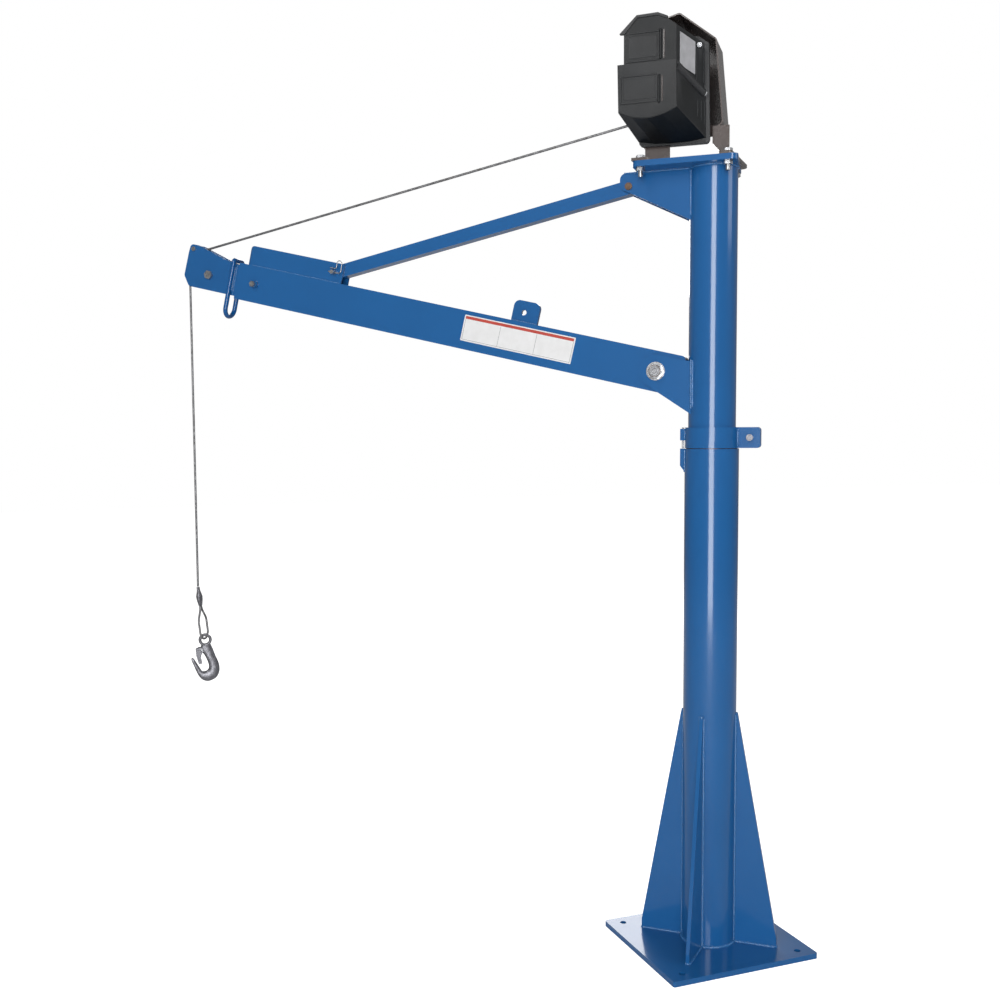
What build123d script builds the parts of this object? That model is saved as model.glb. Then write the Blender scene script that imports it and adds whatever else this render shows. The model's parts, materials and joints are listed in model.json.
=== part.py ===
from build123d import *
import math
import os

# A pedestal jib crane: a bolted base and pedestal, a turning mast with a clamp collar, a propped
# boom with a sliding inner boom, a rope sheave in the boom head, and an electric winch on top.
# Millimetres. The origin is the middle of the base plate's underside on the mast axis, +Z is up
# and +X runs along the long side of the base plate.

# base and pedestal
BASE_LENGTH = 355.0
BASE_WIDTH = 318.0
BASE_THICK = 12.0
BASE_CORNER_R = 5.0
ANCHOR_X = 143.0
ANCHOR_Y = 133.0
ANCHOR_HOLE_R = 7.0
PEDESTAL_R = 58.0
PEDESTAL_WALL = 6.5
PEDESTAL_TOP = 1103.0
GUSSET_THICK = 8.0
GUSSET_REACH = 150.0
GUSSET_FOOT = 20.0
GUSSET_TOP_Z = 524.0
GUSSET_TOP_R = 62.0
GUSSET_ANGLE = 42.0
WASHER_R = 55.0
WASHER_THICK = 1.2
RUNNING_GAP = 0.3

# turning mast and clamp collar
SWING = 140.0
MAST_R = 50.8
MAST_WALL = 6.0
MAST_BOTTOM = 760.0
MAST_TOP = 1699.0
COLLAR_R = 57.5
COLLAR_BOTTOM = PEDESTAL_TOP + WASHER_THICK + RUNNING_GAP
COLLAR_TOP = 1149.0
EAR_REACH = 104.0
EAR_THICK = 8.0
EAR_GAP = 8.0
EAR_BOLT_S = -82.0
EAR_HEAD_R = 7.0
LUG_WIDTH = 22.0
LUG_REACH = 67.0
LUG_LOW_Z = 1058.0
LUG_HIGH_Z = 1121.0
LUG_TOP_Z = 1146.0
LOCK_PIN_R = 2.5
LOCK_PIN_S = 62.4
LOCK_HOLE_R = 2.9
LOCK_PIN_TIP_Z = PEDESTAL_TOP + RUNNING_GAP
LOCK_PIN_TOP_Z = 1149.5

# boom
PIVOT_S = 118.0
PIVOT_Z = 1271.3
INCLINE = 13.2
BOOM_H = 88.0
BOOM_W = 42.0
BOOM_WALL = 5.0
BOOM_START = -57.0
BOOM_END = 1069.0
BOOM_REAR_R = 10.0
BRACKET_THICK = 8.0
BRACKET_EYE_R = 35.8
BRACKET_LOW_ANGLE = 33.9
BRACKET_LOW_Z = 1182.2
BRACKET_LOW_S = 48.5
PIVOT_BOLT_R = 10.0
PIVOT_HEAD_R = 15.0
PIVOT_HEAD_H = 12.0
PIVOT_WASHER_R = 20.0
PIVOT_WASHER_H = 3.0
LUG_A0 = 294.0
LUG_A1 = 357.0
LUG_TOP_H = 92.0
LUG_HOLE_A = 330.0
LUG_HOLE_H = 66.0
LUG_HOLE_R = 6.0
LUG_THICK = 10.0
GUARD_A0 = 789.0
GUARD_A1 = 1050.0
GUARD_TOP_H = 90.5
GUARD_HALF_W = 20.0
GUARD_WALL = 4.0
GUARD_END_R = 12.0
PLACARD_A0 = 193.0
PLACARD_A1 = 462.0
PLACARD_H0 = -25.0
PLACARD_H1 = 34.5
PLACARD_THICK = 0.6
CLAMP_A = 1017.0
CLAMP_R = 5.0
CLAMP_HEAD_R = 7.5
CLAMP_BOSS_R = 9.0

# strut between the boom and the top of the mast
STRUT_LOW_A = 811.4
STRUT_LOW_H = 67.3
STRUT_UP_S = 180.0
STRUT_UP_Z = 1670.4
STRUT_H = 30.0
STRUT_W = 30.0
STRUT_WALL = 3.0
STRUT_END = 17.0
STRUT_PIN_R = 5.0
STRUT_PIN_HEAD_R = 8.0
STRUT_BRACKET_THICK = 8.0
STRUT_BRACKET_END = 199.0
STRUT_BRACKET_LOW_S = 54.2
STRUT_BRACKET_LOW_Z = 1595.0
STRUT_BRACKET_SLOPE = 26.3
CLIP_WIRE_R = 1.2

# inner boom and head
INNER_H = 76.0
INNER_W = 30.0
INNER_WALL = 4.0
INNER_START = 560.0
INNER_END = 1078.0
CHEEK_THICK = 6.0
CHEEK_OUT = 15.0
TIE_A = 1153.0
TIE_H = -1.0
TIE_R = 6.0
KEEPER_A = 1209.5
KEEPER_H = 54.0
KEEPER_R = 3.5
LOOP_A = 1087.0
LOOP_R = 5.6
LOOP_CORNER_R = 6.0
LOOP_TOP_H = 47.2
LOOP_BOTTOM_H = -90.5
SHEAVE_PITCH_R = 30.0
SHEAVE_RIM_R = 33.0
SHEAVE_W = 14.0
AXLE_R = 6.0

# rope and hook
ROPE_R = 2.75
ROPE_SLOPE = 10.94
ROPE_DROP_S = 1306.1
ROPE_CORNER_Z = 1588.4
FERRULE_TOP_Z = 748.0
FERRULE_BOTTOM_Z = 699.0
FERRULE_NECK = 9.0
HOOK_TURN = 34.0
HOOK_LEAN = 6.0
LOOP_TURN = 62.0
EYE_DROP = 139.0
EYE_OUT_R = 17.2
EYE_HOLE_R = 9.8
EYE_SLACK = 3.4
ROPE_EYE_HALF = 20.5
HOOK_THICK = 12.0
EYE_THICK = 10.0
BOWL_CENTRE = (2.5, -217.5)
BOWL_R = 29.5
THROAT_CENTRE = (11.0, -208.5)
THROAT_R = 11.5
LATCH_AT = (11.5, 0, -163.0)
LATCH_PIN_R = 2.2

# top plate and winch
PLATE_S0 = -60.0
PLATE_S1 = 161.0
PLATE_HALF = 80.0
PLATE_TOP = 1711.0
PLATE_CORNER_R = 12.0
PLATE_TAPER = 12.0
WINCH_BOLT_S = (145.0, -38.0)
WINCH_BOLT_N = 66.0
WINCH_BOLT_R = 5.0
DRUM_S = 85.0
DRUM_CORE_R = 27.2
DRUM_FLANGE_R = 45.0
DRUM_SHAFT_R = 9.0
FRAME_NEAR_N = 12.0
FRAME_FAR_N = -80.0
FRAME_THICK = 5.0
FRAME_FOOT_Z = 1748.0
HOOD_LOW_Z = 1785.0
REAR_LEG_S = -16.0
FOOT_THICK = 6.0
COVER_FRONT_N = 120.0
COVER_UPPER_N = 113.0
COVER_STEP_Z = 1898.0
COVER_STEP_FALL = 46.0
COVER_REAR_N = 20.0
COVER_SIDE_S = 12.0
COVER_SIDE_RISE = 50.0
COVER_WALL = 3.0
SCREW_PLACES = ((24.5, 52, 1943), (15.5, 37, 1847), (146.0, 34, 1943), (160.0, 40, 1815))
SCREW_HEAD_R = 5.0
DATA_PLATE_N = 81.0
DATA_PLATE_W = 50.0
DATA_PLATE_LOW = 1886.0
DATA_PLATE_HIGH = 1952.0
DATA_PLATE_FALL = 10.0
GEAR_MODULE = 2.0
GEAR_TEETH = 48
PINION_TEETH = 12
MOTOR_R = 36.0

os.makedirs("parts", exist_ok=True)
NODES = {}
TURN = Rot(0, 0, SWING)
BOOM = TURN * Pos(PIVOT_S, 0, PIVOT_Z) * Rot(0, -INCLINE, 0)


def rad(angle):
    return math.radians(angle)


def rod(radius, length, at=(0, 0, 0), along="Z"):
    """round bar centred on a point, running along a main axis"""
    turn = {"X": Rot(0, 90, 0), "Y": Rot(90, 0, 0), "Z": Rot(0, 0, 0)}[along]
    return Pos(*at) * turn * Cylinder(radius, length)


def hexagon(radius, length, at, along="Y"):
    """hexagon bolt head or nut; radius is half the distance across flats"""
    turn = {"Y": Rot(90, 0, 0), "Z": Rot(0, 0, 0)}[along]
    body = extrude(RegularPolygon(radius, 6, major_radius=False), length / 2, both=True)
    return Pos(*at) * turn * body


def slab(points, radii, low, high):
    """upright plate parallel to the boom: outline in (s, z), between two distances n"""
    line = FilletPolyline(*points, radius=radii, close=True)
    face = Plane.XZ.offset(-high) * make_face(line)
    return extrude(face, high - low)


def block(s0, s1, n0, n1, z0, z1):
    """rectangular block between limits"""
    return Pos((s0 + s1) / 2, (n0 + n1) / 2, (z0 + z1) / 2) * Box(s1 - s0, n1 - n0, z1 - z0)


def boom_point(a, h):
    """(s, z) of a point given along and across the boom from the pivot"""
    s = PIVOT_S + a * math.cos(rad(INCLINE)) - h * math.sin(rad(INCLINE))
    z = PIVOT_Z + a * math.sin(rad(INCLINE)) + h * math.cos(rad(INCLINE))
    return s, z


def keep(name, shape):
    NODES[name] = shape


# ---------------------------------------------------------------- base and pedestal
def make_base():
    sheet = RectangleRounded(BASE_LENGTH, BASE_WIDTH, BASE_CORNER_R)
    plate = extrude(sheet, BASE_THICK)
    for x in (-ANCHOR_X, ANCHOR_X):
        for y in (-ANCHOR_Y, ANCHOR_Y):
            plate -= rod(ANCHOR_HOLE_R, 4 * BASE_THICK, (x, y, 0))
    keep("base_plate", plate)


def make_pedestal():
    height = PEDESTAL_TOP - BASE_THICK
    tube = rod(PEDESTAL_R, height, (0, 0, BASE_THICK + height / 2))
    tube -= rod(PEDESTAL_R - PEDESTAL_WALL, 3 * height, (0, 0, height))
    keep("pedestal_tube", tube)
    ring = rod(WASHER_R, WASHER_THICK, (0, 0, PEDESTAL_TOP + WASHER_THICK / 2))
    ring -= rod(PEDESTAL_R - PEDESTAL_WALL, 4 * WASHER_THICK, (0, 0, PEDESTAL_TOP))
    keep("thrust_washer", ring)


def make_gussets():
    outline = [
        (PEDESTAL_R - 3, BASE_THICK),
        (GUSSET_REACH, BASE_THICK),
        (GUSSET_REACH, BASE_THICK + GUSSET_FOOT),
        (GUSSET_TOP_R, GUSSET_TOP_Z),
        (PEDESTAL_R - 3, GUSSET_TOP_Z),
    ]
    web = slab(outline, [0, 0, 3, 4, 0], -GUSSET_THICK / 2, GUSSET_THICK / 2)
    web -= rod(PEDESTAL_R, 3 * GUSSET_TOP_Z)
    angles = (GUSSET_ANGLE, 180 - GUSSET_ANGLE, 180 + GUSSET_ANGLE, -GUSSET_ANGLE)
    names = ("back_right", "back_left", "front_left", "front_right")
    for name, angle in zip(names, angles):
        keep("gusset_" + name, Rot(0, 0, angle) * web)


def make_lock_lugs():
    half = LUG_WIDTH / 2
    low_outline = [
        (PEDESTAL_R - 4, LUG_LOW_Z - 8),
        (LUG_REACH - 6, LUG_LOW_Z),
        (LUG_REACH, LUG_LOW_Z + 8),
        (LUG_REACH, PEDESTAL_TOP),
        (PEDESTAL_R - 4, PEDESTAL_TOP),
    ]
    low = slab(low_outline, 0, -half, half) - rod(PEDESTAL_R, 3 * PEDESTAL_TOP)
    low -= rod(LOCK_HOLE_R, 80, (LOCK_PIN_S, 0, PEDESTAL_TOP))
    keep("pedestal_lock_lug", TURN * low)
    high = block(COLLAR_R - 5, LUG_REACH, -half, half, LUG_HIGH_Z, LUG_TOP_Z)
    high -= rod(COLLAR_R, 3 * COLLAR_TOP)
    high -= rod(LOCK_HOLE_R, 80, (LOCK_PIN_S, 0, LUG_TOP_Z))
    keep("collar_lock_lug", TURN * high)


def make_lock_pin():
    length = LOCK_PIN_TOP_Z - LOCK_PIN_TIP_Z
    pin = rod(LOCK_PIN_R, length, (LOCK_PIN_S, 0, LOCK_PIN_TIP_Z + length / 2))
    keep("swing_lock_pin", TURN * pin)


# ---------------------------------------------------------------- mast
def make_mast():
    height = MAST_TOP - MAST_BOTTOM
    tube = rod(MAST_R, height, (0, 0, MAST_BOTTOM + height / 2))
    tube -= rod(MAST_R - MAST_WALL, 3 * height, (0, 0, MAST_BOTTOM))
    keep("mast_tube", TURN * tube)


def make_collar():
    height = COLLAR_TOP - COLLAR_BOTTOM
    mid = (COLLAR_TOP + COLLAR_BOTTOM) / 2
    ring = rod(COLLAR_R, height, (0, 0, mid))
    ear_half = EAR_GAP / 2 + EAR_THICK
    outline = [
        (-EAR_REACH, COLLAR_BOTTOM),
        (-COLLAR_R + 8, COLLAR_BOTTOM),
        (-COLLAR_R + 8, COLLAR_TOP),
        (-EAR_REACH, COLLAR_TOP),
    ]
    ring += slab(outline, [7, 0, 0, 7], -ear_half, ear_half)
    ring -= rod(MAST_R, 3 * height, (0, 0, mid))
    ring -= block(-2 * EAR_REACH, -MAST_R + 4, -EAR_GAP / 2, EAR_GAP / 2, 0, 2 * COLLAR_TOP)
    ring -= rod(5.2, 80, (EAR_BOLT_S, 0, mid), "Y")
    keep("clamp_collar", TURN * ring)
    bolt = rod(5.0, 2 * ear_half + 4, (EAR_BOLT_S, -2, mid), "Y")
    head = rod(EAR_HEAD_R, 8, (EAR_BOLT_S, ear_half + 4, mid), "Y")
    head -= hexagon(EAR_HEAD_R / 2, 10, (EAR_BOLT_S, ear_half + 8, mid))
    keep("collar_pinch_bolt", TURN * (bolt + head))


# ---------------------------------------------------------------- boom and its brackets
def make_boom_brackets():
    up = rad(INCLINE)
    low = rad(BRACKET_LOW_ANGLE)
    top_touch = (PIVOT_S - BRACKET_EYE_R * math.sin(up), PIVOT_Z + BRACKET_EYE_R * math.cos(up))
    low_touch = (PIVOT_S + BRACKET_EYE_R * math.sin(low), PIVOT_Z - BRACKET_EYE_R * math.cos(low))
    inner_s = MAST_R - 16
    top_z = top_touch[1] - (top_touch[0] - inner_s) * math.tan(up)
    low_z = BRACKET_LOW_Z - (BRACKET_LOW_S - inner_s) * math.tan(low)
    outline = [(inner_s, low_z), low_touch, (PIVOT_S, PIVOT_Z), top_touch, (inner_s, top_z)]
    for name, side in (("near", 1), ("far", -1)):
        inside = BOOM_W / 2
        outside = inside + BRACKET_THICK
        n0, n1 = sorted((side * inside, side * outside))
        plate = slab(outline, 0, n0, n1)
        plate += rod(BRACKET_EYE_R, BRACKET_THICK, (PIVOT_S, (n0 + n1) / 2, PIVOT_Z), "Y")
        plate -= rod(MAST_R, 4 * PIVOT_Z)
        plate -= rod(PIVOT_BOLT_R, 200, (PIVOT_S, 0, PIVOT_Z), "Y")
        keep("boom_bracket_" + name, TURN * plate)


def make_pivot_bolt():
    face = BOOM_W / 2 + BRACKET_THICK
    washed = face + PIVOT_WASHER_H
    shank = 2 * washed + 26
    bolt = rod(PIVOT_BOLT_R, shank, (0, washed - shank / 2, 0), "Y")
    bolt += hexagon(PIVOT_HEAD_R, PIVOT_HEAD_H, (0, washed + PIVOT_HEAD_H / 2, 0))
    keep("pivot_bolt", BOOM * bolt)
    nut = hexagon(PIVOT_HEAD_R, 16, (0, -washed - 8, 0)) - rod(PIVOT_BOLT_R, 300, (0, 0, 0), "Y")
    keep("pivot_nut", BOOM * nut)
    washers = []
    for side in (1, -1):
        disc = rod(PIVOT_WASHER_R, PIVOT_WASHER_H, (0, side * (face + PIVOT_WASHER_H / 2), 0), "Y")
        disc -= rod(PIVOT_BOLT_R, 300, (0, 0, 0), "Y")
        washers.append(BOOM * disc)
    keep("pivot_washers", Compound(children=washers))


def make_outer_boom():
    half = BOOM_H / 2
    outline = [(BOOM_START, -half), (BOOM_END, -half), (BOOM_END, half), (BOOM_START, half)]
    tube = slab(outline, [3, 0, 0, BOOM_REAR_R], -BOOM_W / 2, BOOM_W / 2)
    bore_h = half - BOOM_WALL
    bore_n = BOOM_W / 2 - BOOM_WALL
    tube -= block(-300, 2 * BOOM_END, -bore_n, bore_n, -bore_h, bore_h)
    tube -= rod(PIVOT_BOLT_R, 200, (0, 0, 0), "Y")
    tube -= rod(CLAMP_R, 60, (CLAMP_A, 30, 0), "Y")
    keep("outer_boom", BOOM * tube)


def make_boom_lug():
    half = BOOM_H / 2
    outline = [(LUG_A0, half), (LUG_A1, half), (LUG_A1, LUG_TOP_H), (LUG_A0, LUG_TOP_H)]
    lug = slab(outline, [0, 0, 14, 14], -LUG_THICK / 2, LUG_THICK / 2)
    lug -= rod(LUG_HOLE_R, 60, (LUG_HOLE_A, 0, LUG_HOLE_H), "Y")
    keep("boom_top_lug", BOOM * lug)


def make_strut_guard():
    outer = [
        (GUARD_A0, -GUARD_HALF_W),
        (GUARD_A1, -GUARD_HALF_W),
        (GUARD_A1, GUARD_HALF_W),
        (GUARD_A0, GUARD_HALF_W),
    ]
    shell = make_face(FilletPolyline(*outer, radius=[0, GUARD_END_R, GUARD_END_R, 0], close=True))
    inner_w = GUARD_HALF_W - GUARD_WALL
    inner_end = GUARD_A1 - GUARD_WALL
    inner = [(GUARD_A0 - 9, -inner_w), (inner_end, -inner_w), (inner_end, inner_w), (GUARD_A0 - 9, inner_w)]
    inner_r = GUARD_END_R - GUARD_WALL
    hollow = make_face(FilletPolyline(*inner, radius=[0, inner_r, inner_r, 0], close=True))
    base_h = BOOM_H / 2
    guard = Pos(0, 0, base_h) * extrude(shell - hollow, GUARD_TOP_H - base_h)
    guard -= rod(STRUT_PIN_R, 100, (STRUT_LOW_A, 0, STRUT_LOW_H), "Y")
    side = [
        (GUARD_A0 - 10, base_h - 1),
        (GUARD_A1 + 1, base_h - 1),
        (GUARD_A1 - 3, GUARD_TOP_H),
        (GUARD_A0 - 10, GUARD_TOP_H),
    ]
    guard = guard & slab(side, [0, 0, GUARD_END_R, 0], -GUARD_HALF_W - 5, GUARD_HALF_W + 5)
    keep("strut_guard", BOOM * guard)


def make_placard():
    face = BOOM_W / 2
    outline = [
        (PLACARD_A0, PLACARD_H0),
        (PLACARD_A1, PLACARD_H0),
        (PLACARD_A1, PLACARD_H1),
        (PLACARD_A0, PLACARD_H1),
    ]
    sheet = slab(outline, 2, face, face + PLACARD_THICK)
    keep("boom_placard", BOOM * sheet)


def make_clamp_screw():
    face = BOOM_W / 2
    boss = rod(CLAMP_BOSS_R, 6, (CLAMP_A, face + 3, 0), "Y") - rod(CLAMP_R, 90, (CLAMP_A, 60, 0), "Y")
    keep("clamp_screw_boss", BOOM * boss)
    tip = INNER_W / 2 + RUNNING_GAP
    shank = face + 9 - tip
    screw = rod(CLAMP_R, shank, (CLAMP_A, tip + shank / 2, 0), "Y")
    head = hexagon(CLAMP_HEAD_R - 1, 7, (CLAMP_A, face + 9 + 3.5, 0))
    keep("boom_clamp_screw", BOOM * (screw + head))


# ---------------------------------------------------------------- strut
def make_strut():
    low_s, low_z = boom_point(STRUT_LOW_A, STRUT_LOW_H)
    length = math.hypot(low_s - STRUT_UP_S, STRUT_UP_Z - low_z)
    fall = math.degrees(math.atan2(STRUT_UP_Z - low_z, low_s - STRUT_UP_S))
    place = TURN * Pos(STRUT_UP_S, 0, STRUT_UP_Z) * Rot(0, fall, 0)
    half_h = STRUT_H / 2
    half_w = STRUT_W / 2
    tube = block(-STRUT_END, length + STRUT_END, -half_w, half_w, -half_h, half_h)
    bore_h = half_h - STRUT_WALL
    bore_w = half_w - STRUT_WALL
    tube -= block(-100, 2 * length, -bore_w, bore_w, -bore_h, bore_h)
    for at in (0, length):
        tube -= rod(STRUT_PIN_R, 90, (at, 0, 0), "Y")
    keep("strut", place * tube)
    reach = half_w + STRUT_BRACKET_THICK
    pin = rod(STRUT_PIN_R, 2 * reach, (0, 0, 0), "Y")
    for side in (1, -1):
        pin += rod(STRUT_PIN_HEAD_R, 3, (0, side * (reach + 1.5), 0), "Y")
    keep("strut_upper_pin", place * pin)


def make_strut_low_pin():
    reach = GUARD_HALF_W
    at = Pos(STRUT_LOW_A, 0, STRUT_LOW_H)
    pin = rod(STRUT_PIN_R, 2 * reach + 16, (0, 8, 0), "Y")
    pin += rod(STRUT_PIN_HEAD_R, 4, (0, -reach - 2, 0), "Y")
    pin -= rod(CLIP_WIRE_R + 0.3, 40, (0, reach + 8, 0), "X")
    keep("strut_lower_pin", BOOM * at * pin)
    up = 29.0
    leg = [(12, 0, 0), (-20, 0, 0), (-20, 0, up), (-7, 0, up), (-7, 0, 9), (9, 0, 9)]
    path = FilletPolyline(*leg, radius=[6, 6.3, 6.3, 5])
    wire = sweep(Plane(path @ 0, z_dir=path % 0) * Circle(CLIP_WIRE_R), path=path)
    keep("hairpin_clip", BOOM * at * Pos(0, reach + 8, 0) * wire)


def make_strut_brackets():
    slope = math.tan(rad(STRUT_BRACKET_SLOPE))
    inner_s = MAST_R - 12
    end_z = STRUT_BRACKET_LOW_Z + (STRUT_BRACKET_END - STRUT_BRACKET_LOW_S) * slope
    low_z = STRUT_BRACKET_LOW_Z - (STRUT_BRACKET_LOW_S - inner_s) * slope
    outline = [
        (inner_s, low_z),
        (STRUT_BRACKET_END, end_z),
        (STRUT_BRACKET_END, MAST_TOP),
        (inner_s, MAST_TOP),
    ]
    for name, side in (("near", 1), ("far", -1)):
        inside = STRUT_W / 2
        n0, n1 = sorted((side * inside, side * (inside + STRUT_BRACKET_THICK)))
        plate = slab(outline, [0, 16, 14, 0], n0, n1)
        plate -= rod(MAST_R, 4 * MAST_TOP)
        plate -= rod(STRUT_PIN_R, 200, (STRUT_UP_S, 0, STRUT_UP_Z), "Y")
        keep("strut_bracket_" + name, TURN * plate)


# ---------------------------------------------------------------- inner boom and head
def make_inner_boom():
    half_h = INNER_H / 2
    half_w = INNER_W / 2
    tube = block(INNER_START, INNER_END, -half_w, half_w, -half_h, half_h)
    bore_h = half_h - INNER_WALL
    bore_w = half_w - INNER_WALL
    tube -= block(0, 2 * INNER_END, -bore_w, bore_w, -bore_h, bore_h)
    keep("inner_boom", BOOM * tube)


def sheave_centre():
    """the sheave touches both the sloping rope and the hanging rope"""
    slope = rad(ROPE_SLOPE)
    s = ROPE_DROP_S - SHEAVE_PITCH_R
    z = ROPE_CORNER_Z + SHEAVE_PITCH_R * math.tan(slope) - SHEAVE_PITCH_R / math.cos(slope)
    return s, z


def make_head():
    half_h = INNER_H / 2
    outline = [
        (INNER_END, -half_h),
        (1206, -half_h),
        (1224, -14),
        (1222, 44),
        (1219.5, 65),
        (1197, 65),
        (1113, 44),
        (INNER_END, half_h),
    ]
    radii = [0, 11, 13, 0, 9, 9, 12, 0]
    s, z = sheave_centre()
    for name, side in (("near", 1), ("far", -1)):
        n0, n1 = sorted((side * (CHEEK_OUT - CHEEK_THICK), side * CHEEK_OUT))
        cheek = BOOM * slab(outline, radii, n0, n1)
        cheek -= TURN * rod(AXLE_R, 100, (s, 0, z), "Y")
        cheek -= BOOM * rod(TIE_R, 100, (TIE_A, 0, TIE_H), "Y")
        cheek -= BOOM * rod(KEEPER_R, 100, (KEEPER_A, 0, KEEPER_H), "Y")
        keep("head_cheek_" + name, cheek)
    keep("sheave_axle", TURN * rod(AXLE_R, 2 * CHEEK_OUT, (s, 0, z), "Y"))


def make_head_bolts():
    out = CHEEK_OUT
    tie = rod(TIE_R, 2 * out + 4, (TIE_A, -2, TIE_H), "Y")
    tie += hexagon(9.5, 7.5, (TIE_A, out + 3.75, TIE_H))
    keep("head_tie_bolt", BOOM * tie)
    keeper = rod(KEEPER_R, 2 * out, (KEEPER_A, 0, KEEPER_H), "Y")
    for side in (1, -1):
        keeper += rod(KEEPER_R + 2, 3, (KEEPER_A, side * (out + 1.5), KEEPER_H), "Y")
    keep("rope_keeper_pin", BOOM * keeper)


def make_anchor_loop():
    n = CHEEK_OUT + LOOP_R
    route = [
        (LOOP_A, -n, LOOP_BOTTOM_H),
        (LOOP_A, n, LOOP_BOTTOM_H),
        (LOOP_A, n, LOOP_TOP_H),
        (LOOP_A, -n, LOOP_TOP_H),
    ]
    path = FilletPolyline(*route, radius=[n - 0.4, n - 0.4, LOOP_CORNER_R, LOOP_CORNER_R], close=True)
    bar = sweep(Plane(path @ 0, z_dir=path % 0) * Circle(LOOP_R), path=path)
    keep("anchor_loop", BOOM * bar)


def make_sheave():
    s, z = sheave_centre()
    wheel = rod(SHEAVE_RIM_R, SHEAVE_W, (s, 0, z), "Y")
    wheel -= rod(AXLE_R + 0.3, 60, (s, 0, z), "Y")
    groove = Torus(SHEAVE_PITCH_R, ROPE_R + 0.02)
    flare = Cylinder(SHEAVE_RIM_R + 5, 2 * ROPE_R + 0.04) - Cylinder(SHEAVE_PITCH_R, 20)
    wheel -= Pos(s, 0, z) * Rot(90, 0, 0) * (groove + flare)
    for angle in range(0, 360, 60):
        reach = (AXLE_R + SHEAVE_PITCH_R) / 2 - 1
        hole_s = s + reach * math.cos(rad(angle))
        hole_z = z + reach * math.sin(rad(angle))
        wheel -= rod(4, 60, (hole_s, 0, hole_z), "Y")
    keep("sheave", TURN * wheel)


# ---------------------------------------------------------------- rope and hook
def rope_height(s):
    """height of the sloping rope's centre line at a distance from the mast"""
    return ROPE_CORNER_Z + (ROPE_DROP_S - s) * math.tan(rad(ROPE_SLOPE))


def make_rope():
    start_s = DRUM_S + 12
    route = [
        (start_s, 0, rope_height(start_s)),
        (ROPE_DROP_S, 0, ROPE_CORNER_Z),
        (ROPE_DROP_S, 0, FERRULE_TOP_Z),
    ]
    path = FilletPolyline(*route, radius=SHEAVE_PITCH_R)
    rope = sweep(Plane(path @ 0, z_dir=path % 0) * Circle(ROPE_R), path=path)
    expected = math.pi * ROPE_R**2 * path.length
    print("wire rope length", round(path.length, 1), "volume ratio", round(rope.volume / expected, 4))
    print("wire rope arc radius", SHEAVE_PITCH_R)
    keep("wire_rope", TURN * rope)


def hanging():
    """frame at the top of the ferrule: x across the hook, z down the rope"""
    return TURN * Pos(ROPE_DROP_S, 0, FERRULE_TOP_Z) * Rot(0, 0, HOOK_TURN) * Rot(0, HOOK_LEAN, 0)


def make_ferrule():
    """pressed sleeve: a slim collar on the rope, a swell, and slim again where the rope parts"""
    low = FERRULE_BOTTOM_Z - FERRULE_TOP_Z
    body_height = -low - FERRULE_NECK
    stations = [
        (-0.8, 0.5, 0.9),
        (-FERRULE_NECK, 0.6, 1.0),
        (-FERRULE_NECK - 0.4 * body_height, 2.0, 4.2),
        (-FERRULE_NECK - 0.65 * body_height, 2.0, 3.4),
        (low, 2.0, 0.8),
    ]
    faces = []
    for z, apart, wall in stations:
        oval = SlotCenterToCenter(apart * ROPE_R, 2 * (ROPE_R + wall))
        faces.append(Pos(0, 0, z) * oval)
    body = loft([face.face() for face in faces], ruled=True)
    keep("rope_ferrule", hanging() * Rot(0, 0, LOOP_TURN) * body)


def make_rope_loop():
    top = FERRULE_BOTTOM_Z - FERRULE_TOP_Z
    bottom = -(EYE_DROP - EYE_HOLE_R + ROPE_R + EYE_SLACK)
    half = ROPE_EYE_HALF
    leg = ROPE_R + 0.05
    route = [
        (leg, 0, top),
        (leg, 0, top - 8),
        (half, 0, top - 36),
        (half, 0, bottom),
        (-half, 0, bottom),
        (-half, 0, top - 36),
        (-leg, 0, top - 8),
        (-leg, 0, top),
    ]
    radii = [26, 26, half - 0.3, half - 0.3, 26, 26]
    path = FilletPolyline(*route, radius=radii)
    loop = sweep(Plane(path @ 0, z_dir=path % 0) * Circle(ROPE_R), path=path)
    expected = math.pi * ROPE_R**2 * path.length
    print("rope loop length", round(path.length, 1), "volume ratio", round(loop.volume / expected, 4))
    print("rope loop radii", radii)
    keep("rope_loop", hanging() * Rot(0, 0, LOOP_TURN) * loop)


def hook_plate(points, low, high):
    """flat piece in the hook's own plane, between two distances across it"""
    face = Plane.XZ.offset(-high) * make_face(Polyline(*points, close=True))
    return extrude(face, high - low)


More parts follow.
